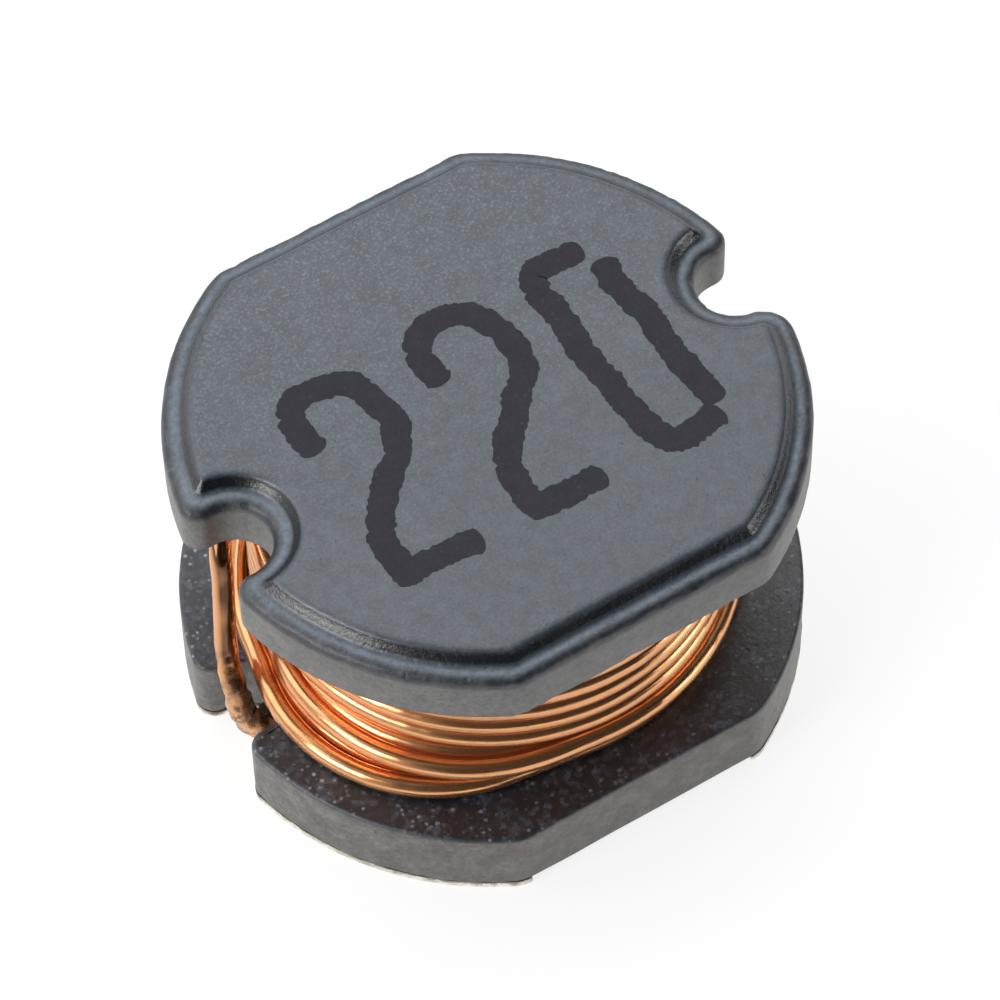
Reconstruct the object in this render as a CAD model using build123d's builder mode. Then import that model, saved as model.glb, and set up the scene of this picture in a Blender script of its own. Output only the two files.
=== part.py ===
"""SMD power inductor: an open ferrite drum core wound with enamelled copper wire.

Frame: millimetres, +Z up, origin on the board under the middle of the part.
+X runs through the two wire notches (the long way), +Y across the flats.
"""
import os
from math import acos, atan2, cos, degrees, hypot, radians, sin

from build123d import *

os.makedirs("parts", exist_ok=True)

# ---- driving dimensions ------------------------------------------------------------------
# flanges, both the same outline: a disc with two flats, rounded corners and two notches
flange_radius = 3.90
flat_width = 7.00
corner_radius = 0.45
notch_centre = 3.53
notch_radius = 0.478
lip_radius = 0.24
worn_lip_ratio = 1.7                # one lip of the start notch is rounded off more
lower_notch_half_width = 0.52
lower_notch_turn = -1.3             # degrees that the lower notches are turned from the upper

# heights above the board
overall_height = 4.84
lower_flange_top = 1.08
upper_flange_bottom = 3.92
rim_height = 4.67

# pressed and tumbled edges of the core, and the post between the flanges
rim_roll = ((0.05, 0.12), (0.07, 0.04))     # worn rim, two chamfers: inwards, down
lower_edge_chamfer = 0.05           # upper edge of the lower flange
step_foot = (0.20, 0.25, 0.10)      # inset, corner and lip radius where the step starts
step_head = (0.36, 0.10, 0.06)      # the same round the raised face
post_radius = 2.25

# soldering pads: plated on the two round ends, wrapped up a small edge chamfer
pad_thickness = 0.05
pad_wrap = 0.05
pad_inner_edge = 1.60

# groove for a wire end, from each notch inwards
groove_width = 0.60
groove_end = 2.25
groove_top = 0.43

# winding: outer layer from the start notch (+X) round and up, out through the finish notch.
# Each turn lies level round the front and climbs to the next one round the back.
wire_diameter = 0.28
wire_sides = 12                     # the round wire is drawn with this many flat sides
turn_pitch = 0.288
coil_radius = 2.86                  # to the middle of the wire
bottom_turn_height = 1.245
level_turns = 7
climb_start = 340                   # degrees from +X, where a turn leaves its level
finish_angle = 131                  # where the wire leaves the coil
inner_layer_radius = 2.60
inner_turn_height = 3.43
sleeve_cover = 0.04                 # a sleeve reaches this far past the middle of its wires
layer_step_height = 3.10
winding_clearance = 0.02            # to the flanges
post_gap = 0.06
tuck_angle = 25                     # the inner turn's ends dip under its sleeve over this
tuck_depth = 0.125

# the two lowest turns are loose: bearing, how far the wire's middle swings out, bend radius
on_coil = (0, coil_radius, coil_radius)
outer_rest_radius = 3.15            # the first turn starts outside the one that follows it
first_climb_start = 385
climb_steps = 4
lowest_swings = ((0, outer_rest_radius, outer_rest_radius), (205, 3.41, 2.20), on_coil,
                 (climb_start, 3.08, 2.20), on_coil)
second_swings = (on_coil, (218, 3.18, 2.45), (climb_start, 3.00, 2.95))

# lead-outs: down through the notches and back inwards along the grooves
lead_in_notch = 3.47
lead_in_groove_height = 0.24
lead_end = 2.55
lead_bend_radius = 0.28
finish_lead_run = 1.81
finish_lead_knee = (-3.56, 0.25, 1.15)


def flange_outline(inset=0.0, corner=corner_radius, lip=lip_radius):
    """Disc cut by two flats, with the two notches, all drawn in by inset.

    corner rounds the four ends of the flats, lip the four lips of the notches.
    """
    worn_corner = (flange_radius, -notch_radius, 0)
    with BuildSketch() as outline:
        Circle(flange_radius - inset)
        Rectangle(2 * flange_radius, flat_width - 2 * inset, mode=Mode.INTERSECT)
        fillet(outline.vertices(), corner)
        with PolarLocations(notch_centre, 2):
            Circle(notch_radius + inset, mode=Mode.SUBTRACT)
        lips = outline.vertices().filter_by(lambda v: abs(v.Y) < notch_radius + inset)
        fillet(lips.sort_by_distance(worn_corner)[0], lip * worn_lip_ratio)
        lips = outline.vertices().filter_by(lambda v: abs(v.Y) < notch_radius + inset)
        fillet(lips.sort_by_distance(worn_corner)[-3:], lip)
    return outline.sketch


def lower_outline():
    """The same disc and flats, with straight-sided notches that leave room for the wires."""
    with BuildSketch() as outline:
        Circle(flange_radius)
        Rectangle(2 * flange_radius, flat_width, mode=Mode.INTERSECT)
        fillet(outline.vertices(), corner_radius)
        with PolarLocations(notch_centre + flange_radius / 2, 2, lower_notch_turn):
            SlotOverall(flange_radius + 2 * lower_notch_half_width, 2 * lower_notch_half_width,
                        mode=Mode.SUBTRACT)
        lips = outline.vertices().filter_by(
            lambda v: abs(v.Y) < 1.2 * lower_notch_half_width and abs(v.X) > notch_centre + 0.1)
        fillet(lips, lip_radius)
    return outline.sketch


def groove_outline():
    """Plan of the two grooves: a slot with a round inner end, open into each notch."""
    middle = (groove_end + notch_centre) / 2
    with BuildSketch() as outline:
        with PolarLocations(middle, 2, lower_notch_turn):
            SlotOverall(notch_centre - groove_end + groove_width, groove_width)
    return outline.sketch


# ---- drum core ---------------------------------------------------------------------------
with BuildPart() as core:
    with BuildSketch(Plane.XY.offset(pad_thickness)):
        add(lower_outline())
    extrude(amount=lower_flange_top - pad_thickness)
    chamfer(core.faces().sort_by(Axis.Z)[-1].edges(), lower_edge_chamfer)
    chamfer(core.faces().sort_by(Axis.Z)[0].edges(), pad_wrap)

    with BuildSketch(Plane.XY.offset(upper_flange_bottom)):
        add(flange_outline())
    extrude(amount=rim_height - upper_flange_bottom)
    for inwards, down in rim_roll:
        rim_face = core.faces().sort_by(Axis.Z)[-1]
        chamfer(rim_face.edges(), inwards, down, reference=rim_face)

    with BuildSketch(Plane.XY.offset(rim_height)):
        add(flange_outline(*step_foot))
    with BuildSketch(Plane.XY.offset(overall_height)):
        add(flange_outline(*step_head))
    loft(ruled=True)

    with BuildSketch(Plane.XY.offset(lower_flange_top)):
        Circle(post_radius)
    extrude(amount=upper_flange_bottom - lower_flange_top)

    with BuildSketch(Plane.XY.offset(pad_thickness)):
        add(groove_outline())
    extrude(amount=groove_top - pad_thickness, mode=Mode.SUBTRACT)
core.part.label = "ferrite_core"
export_step(core.part, "parts/ferrite_core.step")


# ---- winding -----------------------------------------------------------------------------
start_angle = degrees(acos(outer_rest_radius / lead_in_notch))


def on_circle(radius, bearing, height=0.0, middle=Vector(0, 0)):
    """The point of a level circle at a bearing in degrees."""
    return middle + Vector(radius, 0, height).rotate(Axis.Z, bearing)


def add_level_turn(height, start, swings, end=climb_start):
    """Adds one level turn: a belt laid round discs, arcs joined by their common tangents.

    Each swing is a disc that reaches out at its bearing.
    """
    discs = [(on_circle(reach - bend, bearing), bend) for bearing, reach, bend in swings]
    pieces = []
    arrive = start
    for number, (middle, radius) in enumerate(discs):
        leave = end
        if number + 1 < len(discs):
            next_middle, next_radius = discs[number + 1]
            apart = next_middle - middle
            heading = degrees(atan2(apart.Y, apart.X))
            leave = heading - degrees(acos((radius - next_radius) / apart.length))
            leave = arrive + (leave - arrive) % 360
        stations = (arrive, (arrive + leave) / 2, leave)
        arc = ThreePointArc(*[on_circle(radius, a, height, middle) for a in stations])
        pieces.append(arc)
        if number + 1 < len(discs):
            pieces.append(Line(arc @ 1, on_circle(next_radius, leave, height, next_middle)))
        arrive = leave
    return pieces


def add_climb(low, reach, climb, sweep_angle=180, begin=climb_start, end_reach=coil_radius):
    """Adds the first sweep_angle degrees of a tilted half circle.

    It climbs from a level start to a level end, so it joins two level turns smoothly.
    """
    radius = (reach + end_reach) / 2
    middle = on_circle(reach - radius, begin)
    tilted_radius = hypot(radius, climb / 2)

    def station(angle):
        point = Vector(radius * cos(radians(angle)), tilted_radius * sin(radians(angle)),
                       low + climb * (1 - cos(radians(angle))) / 2)
        return middle + point.rotate(Axis.Z, begin)

    return ThreePointArc(station(0), station(sweep_angle / 2), station(sweep_angle))


def add_steeper_climb(low, climb, begin, end):
    """Adds a climb on the coil between two bearings, level at both of its ends."""
    points = []
    for step in range(climb_steps + 1):
        share = step / climb_steps
        height = low + climb * (1 - cos(radians(180 * share))) / 2
        points.append(on_circle(coil_radius, begin + (end - begin) * share, height))
    ways = [on_circle(1, bearing + 90) for bearing in (begin, end)]
    return Spline(*points, tangents=ways)


with BuildLine() as wire_path:
    coil_start = add_level_turn(bottom_turn_height, start_angle, lowest_swings,
                                first_climb_start)[0]
    add_steeper_climb(bottom_turn_height, turn_pitch, first_climb_start, climb_start + 180)
    height = bottom_turn_height + turn_pitch
    add_level_turn(height, climb_start - 180, second_swings)
    reach = second_swings[-1][1]
    for _ in range(level_turns - 2):
        add_climb(height, reach, turn_pitch)
        height += turn_pitch
        reach = coil_radius
        add_level_turn(height, climb_start - 180, (on_coil,))
    coil_end = add_climb(height, reach, turn_pitch, 360 - climb_start + finish_angle)
    start_run = lead_in_notch * sin(radians(start_angle))
    FilletPolyline(
        coil_start @ 0,
        coil_start @ 0 - (coil_start % 0) * start_run,
        (lead_in_notch, 0, lead_in_groove_height),
        (lead_end, 0, lead_in_groove_height),
        radius=lead_bend_radius)
    FilletPolyline(
        coil_end @ 1,
        coil_end @ 1 + (coil_end % 1) * finish_lead_run,
        finish_lead_knee,
        (-lead_in_notch, 0, lead_in_groove_height),
        (-lead_end, 0, lead_in_groove_height),
        radius=lead_bend_radius)

with BuildLine() as inner_path:
    turn = add_climb(inner_turn_height, inner_layer_radius, turn_pitch / 2,
                     begin=start_angle, end_reach=inner_layer_radius)
    tucked = inner_layer_radius - tuck_depth
    for point, way, angle in ((turn @ 0, -(turn % 0), -tuck_angle),
                              (turn @ 1, turn % 1, 180 + tuck_angle)):
        TangentArc(point, on_circle(tucked, start_angle + angle, point.Z), tangent=way)

# two plain sleeves stand in for the hidden inner layers, the wires are swept on top of them
with BuildPart() as winding:
    with BuildSketch(Plane.XY.offset(lower_flange_top + winding_clearance)):
        Circle(coil_radius + sleeve_cover)
        Circle(post_radius + post_gap, mode=Mode.SUBTRACT)
    extrude(amount=layer_step_height - lower_flange_top - winding_clearance)
    with BuildSketch(Plane.XY.offset(layer_step_height)):
        Circle(inner_layer_radius + sleeve_cover)
        Circle(post_radius + post_gap, mode=Mode.SUBTRACT)
    extrude(amount=upper_flange_bottom - winding_clearance - layer_step_height)
    for path in (wire_path, inner_path):
        wire = path.wires()[0]
        with BuildSketch(Plane(wire @ 0, x_dir=(0, 0, 1), z_dir=wire % 0)):
            RegularPolygon(wire_diameter / 2, wire_sides, major_radius=False,
                           rotation=180 / wire_sides)
        sweep(path=wire)
winding.part.label = "copper_winding"
export_step(winding.part, "parts/copper_winding.step")

# ---- soldering pads and the solder round each wire end -----------------------------------
for side, name in ((1, "start"), (-1, "finish")):
    with BuildPart() as pad:
        with BuildSketch():
            add(lower_outline())
            with Locations((side * pad_inner_edge, 0)):
                Rectangle(2 * flange_radius, 2 * flange_radius, mode=Mode.INTERSECT,
                          align=(Align.MIN if side > 0 else Align.MAX, Align.CENTER))
            add(groove_outline(), mode=Mode.SUBTRACT)
        extrude(amount=pad_thickness + pad_wrap)
        add(core.part, mode=Mode.SUBTRACT)
    pad.part.label = "terminal_" + name
    export_step(pad.part, "parts/terminal_" + name + ".step")

    with BuildPart() as solder:
        with BuildSketch():
            add(groove_outline())
            add(lower_outline(), mode=Mode.INTERSECT)
            with Locations((side * pad_inner_edge, 0)):
                Rectangle(2 * flange_radius, 2 * flange_radius, mode=Mode.INTERSECT,
                          align=(Align.MIN if side > 0 else Align.MAX, Align.CENTER))
        extrude(amount=groove_top)
        add(winding.part, mode=Mode.SUBTRACT)
    solder.part.label = "solder_joint_" + name
    export_step(solder.part, "parts/solder_joint_" + name + ".step")
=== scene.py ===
# %% [markdown]
# # A surface-mount power inductor, dressed for its portrait
#
# The part is an open ferrite drum core wound with enamelled copper wire. Its two wire ends drop
# through notches in the lower flange and are soldered in grooves between plated pads. The solids
# that load below fix every size. This lesson gives each piece its real surface: the pressed and
# tumbled edges of the ferrite, every turn of wire, the printed value code, tin, solder and flux.
#
# Lengths are written in millimetres and multiplied by MM, because Blender works in metres.

# %% The frame and the tools
import math
import bpy
import numpy as np
from mathutils import Matrix, Vector


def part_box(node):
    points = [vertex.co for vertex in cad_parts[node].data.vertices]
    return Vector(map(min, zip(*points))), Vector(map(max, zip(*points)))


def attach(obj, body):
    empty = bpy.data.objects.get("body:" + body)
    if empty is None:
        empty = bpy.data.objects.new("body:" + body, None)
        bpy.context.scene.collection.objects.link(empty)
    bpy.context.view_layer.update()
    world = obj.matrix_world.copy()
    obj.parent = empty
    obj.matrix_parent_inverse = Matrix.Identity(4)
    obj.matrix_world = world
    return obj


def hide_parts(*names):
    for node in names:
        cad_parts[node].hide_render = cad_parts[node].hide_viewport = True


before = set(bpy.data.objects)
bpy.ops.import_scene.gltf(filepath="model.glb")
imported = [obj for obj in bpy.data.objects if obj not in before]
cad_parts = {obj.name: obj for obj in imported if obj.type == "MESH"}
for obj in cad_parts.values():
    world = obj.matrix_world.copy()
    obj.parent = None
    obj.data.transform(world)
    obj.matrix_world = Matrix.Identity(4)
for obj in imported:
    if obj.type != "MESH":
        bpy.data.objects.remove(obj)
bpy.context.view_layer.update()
MM = 0.001
core_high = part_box("ferrite_core")[1]
pad_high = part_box("terminal_start")[1]
half_width = core_high.y / MM
part_top = core_high.z / MM
print("nodes:", sorted(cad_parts), "top face at", round(part_top, 3), "mm")

# %% [markdown]
# ## The camera
#
# The picture is taken from above and a little to the left of the near flat, with a long lens, so
# that the circles look like ellipses with hardly any perspective. A camera is easiest to place by
# an azimuth and an elevation about the point that it looks at. Its three axes then make the
# columns of its matrix: right, up, and back towards the lens.

# %% Camera
def place_object(name, data):
    """A new object that holds the data, linked into the scene."""
    made = bpy.data.objects.new(name, data)
    bpy.context.scene.collection.objects.link(made)
    return made


azimuth, elevation, roll = np.radians([-30.81, 56.04, -1.39])
camera_distance = 67.8
lens_length = 199.1
look_at = np.array([0.174, 0.038, 2.5])
back = np.array([np.sin(azimuth) * np.cos(elevation), -np.cos(azimuth) * np.cos(elevation),
                 np.sin(elevation)])
right = np.array([np.cos(azimuth), np.sin(azimuth), 0])
up = np.cross(back, right)
rolled_right = np.cos(roll) * right + np.sin(roll) * up
rolled_up = np.cross(back, rolled_right)
camera_data = bpy.data.cameras.new("camera")
camera_data.lens = lens_length
camera_data.sensor_width = 36
camera_data.clip_start = 0.001
camera_data.clip_end = 10
camera = place_object("camera", camera_data)
camera_place = (look_at + camera_distance * back) * MM
camera.matrix_world = Matrix([[*row, place] for row, place in
                              zip(np.array([rolled_right, rolled_up, back]).T, camera_place)]
                             + [[0, 0, 0, 1]])
bpy.context.scene.camera = camera
print("camera at", np.round(camera_place / MM, 1), "mm")

# %% [markdown]
# ## From arrays to meshes
#
# Every new piece is a surface of two parameters, worked out as whole arrays. A grid has rows
# along one parameter and columns along the other. Its faces only need the numbers of the four
# corners of each cell, and where the columns close into a loop, the last column's neighbour is
# the first. A first or last row that shrinks to a point is replaced by one vertex, a pole.

# %% Grids
def grid_faces(rows, columns):
    """Cells of a grid whose columns close into a loop: corner (i, j) is vertex i*columns + j."""
    first = np.arange(rows - 1)[:, None] * columns + np.arange(columns)[None, :]
    second = np.arange(rows - 1)[:, None] * columns + (np.arange(columns) + 1)[None, :] % columns
    return np.stack([first, second, second + columns, first + columns], -1).reshape(-1, 4)


def signed_volume(vertices, cells):
    """Volume under the cells, as pyramids from the mean point: positive if they face outwards."""
    a, b, c, d = (vertices[cells[:, k]] - vertices.mean(0) for k in range(4))
    pyramids = np.cross(a, b) * c + np.cross(a, c) * d
    return float(pyramids.sum())


def closed_surface(name, rings, attributes=None, uv=None):
    """A closed mesh from rings (rows, columns, 3) in mm. Both end rings are capped by a pole,
    the mean of the ring. attributes maps a name to one number for each ring vertex."""
    rows, columns = rings.shape[:2]
    vertices = np.vstack([rings.reshape(-1, 3), rings[0].mean(0), rings[-1].mean(0)])
    edge = np.arange(columns)
    start_fan = np.stack([np.full(columns, rows * columns), (edge + 1) % columns, edge], -1)
    last = (rows - 1) * columns
    end_fan = np.stack([np.full(columns, rows * columns + 1), last + edge,
                        last + (edge + 1) % columns], -1)
    faces = grid_faces(rows, columns).tolist() + start_fan.tolist() + end_fan.tolist()
    if signed_volume(vertices, grid_faces(rows, columns)) < 0:
        faces = [face[::-1] for face in faces]
    mesh = bpy.data.meshes.new(name)
    mesh.from_pydata((vertices * MM).tolist(), [], faces)
    mesh.shade_smooth()
    for key, values in (attributes or {}).items():
        ends = np.concatenate([values.ravel(), [values[0].mean(), values[-1].mean()]])
        layer = mesh.attributes.new(key, "FLOAT", "POINT")
        layer.data.foreach_set("value", ends.astype(np.float32))
    if uv is not None:
        corner_vertex = np.zeros(len(mesh.loops), np.int32)
        mesh.loops.foreach_get("vertex_index", corner_vertex)
        flat = np.vstack([uv.reshape(-1, 2), uv[0].mean(0), uv[-1].mean(0)])
        layer = mesh.uv_layers.new(name="along")
        layer.data.foreach_set("uv", flat[corner_vertex].astype(np.float32).ravel())
    mesh.update()
    return mesh


def add_piece(name, mesh, material, replaced=()):
    """Links a mesh as a piece that rides on the one body, and hides the solids that it replaces.
    """
    piece = place_object(name, mesh)
    piece.data.materials.append(material)
    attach(piece, "root")
    if replaced:
        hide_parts(*replaced)
    triangles = sum(len(p.vertices) - 2 for p in mesh.polygons)
    print(name, len(mesh.vertices), "vertices", triangles, "triangles")
    return piece


# %% [markdown]
# ## Randomness that is smooth
#
# Nothing on a fired part is perfectly flat or even. A smooth random field is a sum of many
# cosines that run in random directions with random phases, divided by the root of their number.
# It is cheap on whole arrays, and a seed makes it the same each time. A soft step then turns a
# field into patches.

# %% Random fields
def ripple(points, wavelength, seed, waves=28):
    """Smooth random field, mostly from -1.5 to 1.5: the scaled sum of cosines."""
    random = np.random.default_rng(seed)
    direction = random.normal(size=(waves, 3))
    direction /= np.linalg.norm(direction, axis=1)[:, None]
    shortest, longest = 0.75, 1.4
    length = wavelength * random.uniform(shortest, longest, waves)
    phase = random.uniform(0, 2 * np.pi, waves)
    angle = points @ (2 * np.pi * direction / length[:, None]).T + phase
    return np.cos(angle).sum(-1) / np.sqrt(waves)


def soft_step(value, low, high):
    """0 below low, 1 above high, and a smooth cubic between them."""
    t = np.clip((value - low) / (high - low), 0, 1)
    return t * t * (3 - 2 * t)


# %% [markdown]
# ## Shader tools
#
# A material is a graph of nodes. A small class keeps the graphs short: each of its methods adds
# a node, sets its inputs and returns an output, and an input may be a number, a colour or another
# node's output. A colour is red, green and blue as amounts of light, and a 1 for opaque. Effects
# that several finishes share are node groups, made once with named inputs and outputs. A material
# starts from a fresh Principled shader.

# %% Node helpers
class Graph:
    """A node tree that is being built."""

    def __init__(self, tree, point=None):
        self.tree = tree
        self.point = point

    def connect(self, node, inputs):
        """Sets or links a node's inputs, by name or by number."""
        for key, value in inputs.items():
            if isinstance(value, bpy.types.NodeSocket):
                self.tree.links.new(value, node.inputs[key])
            else:
                node.inputs[key].default_value = value

    def add(self, kind, inputs=None, **settings):
        """Adds a node of that kind with its settings and inputs, and returns the node."""
        made = self.tree.nodes.new(kind)
        for key, value in settings.items():
            setattr(made, key, value)
        self.connect(made, inputs or {})
        return made

    def place(self):
        """The point asked about, in the part's own frame and in metres."""
        if self.point is None:
            self.point = self.add("ShaderNodeTexCoord").outputs["Object"]
        return self.point

    def mark(self, name):
        """The number that the mesh carries at each vertex under that name."""
        return self.add("ShaderNodeAttribute", attribute_name=name).outputs["Fac"]

    def maths(self, operation, *values, clamp=False):
        """A Math node of one or two values."""
        return self.add("ShaderNodeMath", dict(enumerate(values)), operation=operation,
                        use_clamp=clamp).outputs[0]

    def times(self, first, second, clamp=False):
        """first * second."""
        return self.maths("MULTIPLY", first, second, clamp=clamp)

    def remap(self, value, low, high, new_low=0.0, new_high=1.0):
        """value, moved from low..high to new_low..new_high and kept inside."""
        inputs = dict(enumerate((value, low, high, new_low, new_high)))
        return self.add("ShaderNodeMapRange", inputs).outputs[0]

    def blend(self, share, first, second, mode="MIX"):
        """A colour: the first where share is 0 and the second where it is 1."""
        return self.add("ShaderNodeMix", {0: share, 6: first, 7: second}, data_type="RGBA",
                        blend_type=mode).outputs[2]

    def between(self, share, first, second):
        """A number: the first where share is 0 and the second where it is 1."""
        return self.add("ShaderNodeMix", {0: share, 2: first, 3: second}).outputs[0]

    def noise(self, scale, detail, **more):
        """A smooth cloudy field, about 0 to 1, with scale waves in a metre."""
        return self.add("ShaderNodeTexNoise", {"Vector": self.place(), "Scale": scale,
                                               "Detail": detail, **more}).outputs[0]

    def cells(self, scale):
        """Crowded cells: the distance to a cell's middle, and three random numbers a cell."""
        made = self.add("ShaderNodeTexVoronoi", {"Vector": self.place(), "Scale": scale,
                                                 "Randomness": 1.0})
        pick = self.add("ShaderNodeSeparateColor", {0: made.outputs["Color"]})
        return made.outputs["Distance"], pick.outputs


class Finish(Graph):
    """A material with a fresh Principled shader."""

    def __init__(self, name):
        self.material = bpy.data.materials.new(name)
        self.material.use_nodes = True
        super().__init__(self.material.node_tree)
        self.tree.nodes.clear()
        self.shader = self.add("ShaderNodeBsdfPrincipled")
        self.output = self.add("ShaderNodeOutputMaterial", {0: self.shader.outputs[0]})

    def bump(self, strength, distance, height):
        """Tilts the shader's normal by a height field whose 1 stands for distance in metres."""
        made = self.add("ShaderNodeBump", {"Strength": strength, "Distance": distance,
                                           "Height": height})
        self.connect(self.shader, {"Normal": made.outputs[0]})

    def done(self, **inputs):
        """Sets the shader's inputs, whose names are written with underscores."""
        self.connect(self.shader, {key.replace("_", " "): value for key, value in inputs.items()})
        return self.material


def new_group(name, numbers, results):
    """A shader node group that takes a point and named numbers and gives named numbers. Returns
    the group, its graph, what it is given, and the node that takes its results."""
    group = bpy.data.node_groups.new(name, "ShaderNodeTree")
    group.interface.new_socket("Vector", in_out="INPUT", socket_type="NodeSocketVector")
    for key, value in numbers.items():
        socket = group.interface.new_socket(key, in_out="INPUT", socket_type="NodeSocketFloat")
        socket.default_value = value
    for key in results:
        group.interface.new_socket(key, in_out="OUTPUT", socket_type="NodeSocketFloat")
    given = group.nodes.new("NodeGroupInput").outputs
    return group, Graph(group, given["Vector"]), given, group.nodes.new("NodeGroupOutput")


# %% [markdown]
# ## Two shared effects
#
# Fired ferrite, tin and ink all show a fine salt-and-pepper grain. The first group makes it from
# two noises and a scatter of tiny cells: a shade to multiply a colour by, bright specks, dark
# pits and a height for a Bump node. The second group makes stains: soft-edged patches of one
# noise, where Cover is about the share of the surface that they take.

# %% Grain and stain groups
waves_per_metre = 1 / MM
grain_group, g, given, results = new_group(
    "fired_grain", {"Grain per mm": 16.0, "Contrast": 0.3, "Speck size": 0.12},
    ("Shade", "Specks", "Pits", "Height"))
scale = g.times(given["Grain per mm"], waves_per_metre)
fine = g.noise(scale, 4.0, Roughness=0.7)
coarse = g.noise(g.times(scale, 0.22), 3.0)
distance, pick = g.cells(g.times(scale, 0.6))
from_middle = g.maths("DIVIDE", distance, given["Speck size"])
near_middle = g.maths("SUBTRACT", 1.0, from_middle, clamp=True)
speck = g.times(near_middle, g.remap(pick[0], 0.72, 0.95))
pit = g.times(near_middle, g.remap(pick[1], 0.80, 0.95))
both = g.maths("ADD", g.times(fine, 0.65), g.times(coarse, 0.35))
swing = g.times(g.times(g.maths("SUBTRACT", both, 0.5), 6.0), given["Contrast"])
g.connect(results, {"Shade": g.maths("ADD", 1.0, swing), "Specks": speck, "Pits": pit,
                    "Height": g.maths("SUBTRACT", fine, g.times(pit, 0.8))})

stain_group, g, given, results = new_group(
    "stains", {"Patches per mm": 0.8, "Cover": 0.35}, ("Mask",))
scale = g.times(given["Patches per mm"], waves_per_metre)
threshold = g.maths("SUBTRACT", 0.80, g.times(given["Cover"], 0.5))
over = g.maths("SUBTRACT", g.noise(scale, 5.0, Roughness=0.6, Distortion=0.4), threshold)
g.connect(results, {"Mask": g.remap(over, 0.0, 0.12)})


def fired_grain(finish, per_mm, contrast, speck_size):
    """The grain group placed in a finish: its outputs, by name."""
    return finish.add("ShaderNodeGroup", {
        "Vector": finish.place(), "Grain per mm": per_mm, "Contrast": contrast,
        "Speck size": speck_size}, node_tree=grain_group).outputs


def stains(finish, per_mm, cover):
    """The stain group placed in a finish: its mask."""
    return finish.add("ShaderNodeGroup", {
        "Vector": finish.place(), "Patches per mm": per_mm, "Cover": cover},
        node_tree=stain_group).outputs["Mask"]


print("groups:", [group.name for group in bpy.data.node_groups])

# %% [markdown]
# ## The ferrite drum
#
# The core is pressed from powder, fired and tumbled, so it is one dark ceramic piece with no
# sharp edge anywhere. Its flanges are discs with two flats and two notches, and the top flange
# carries a raised face that steps down to a narrow land round the rim. It could be cut from
# primitives, but then each edge would need its own bevel. Here it is one profile carried round
# an outline. The outline is made of arcs that are worked out again for each inset, so a row of
# the profile may draw the whole outline in, notches and corners included, and keep its columns.

# %% Outlines as arcs
flange_radius = 3.90
notch_centre = 3.53
notch_radius = 0.478
corner_radius, lip_radius = 0.45, 0.24
worn_lip_ratio = 1.7
lower_notch_half_width = 0.52
lower_notch_turn = math.radians(-1.3)
turn_fades = (0.35, 0.95)
NOTCH_COLUMNS, MOUTH_COLUMNS, LIP_COLUMNS = 18, 8, 14
RIM_COLUMNS, CORNER_COLUMNS, FLAT_COLUMNS = 40, 10, 22


def arc(centre_x, centre_y, radius, start, end, count):
    """Points centre + radius (cos a, sin a), with a running evenly from start up to end."""
    a = start + (end - start) * np.linspace(0, 1, count, endpoint=False)
    return np.stack([centre_x + radius * np.cos(a), centre_y + radius * np.sin(a)], -1)


def straight(start, end, count, closed=False):
    """Evenly spaced points of a straight run. Points are (rows, 1) pairs of x and y."""
    t = np.linspace(0, 1, count, endpoint=closed)
    return np.stack([s + (e - s) * t for s, e in zip(start, end)], -1)


def quarter(inset, corner, lip, round_notch):
    """A quarter of the flange, from the middle of its notch to the middle of its flat.

    Everything is drawn in by inset. The lip is the fillet that touches the notch and the disc:
    for a round notch its centre is where two circles about the disc's and the notch's centres
    cross, and for a straight-sided one it lies over the wall. Inputs are (rows, 1) arrays."""
    disc = flange_radius - inset
    width = half_width - inset
    notch = (notch_radius if round_notch else lower_notch_half_width) + inset
    if round_notch:
        lip_x = ((disc - lip) ** 2 - (notch + lip) ** 2 + notch_centre ** 2) / (2 * notch_centre)
        lip_y = np.sqrt((disc - lip) ** 2 - lip_x ** 2)
        turn = np.arctan2(lip_y, lip_x - notch_centre)
        runs = [arc(notch_centre, 0, notch, np.pi, turn, NOTCH_COLUMNS + MOUTH_COLUMNS)]
    else:
        lip_y = notch + lip
        lip_x = np.sqrt((disc - lip) ** 2 - lip_y ** 2)
        turn = np.pi / 2
        runs = [arc(notch_centre, 0, notch, np.pi, turn + 0 * inset, NOTCH_COLUMNS),
                straight((notch_centre + 0 * inset, notch), (lip_x, notch), MOUTH_COLUMNS)]
    corner_y = width - corner
    corner_x = np.sqrt((disc - corner) ** 2 - corner_y ** 2)
    rim_start, rim_end = np.arctan2(lip_y, lip_x), np.arctan2(corner_y, corner_x)
    runs += [arc(lip_x, lip_y, lip, turn - np.pi, rim_start, LIP_COLUMNS),
             arc(0, 0, disc, rim_start, rim_end, RIM_COLUMNS),
             arc(corner_x, corner_y, corner, rim_end, np.pi / 2, CORNER_COLUMNS),
             straight((corner_x, width), (0 * width, width), FLAT_COLUMNS, closed=True)]
    return np.concatenate(runs, 1)


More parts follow.
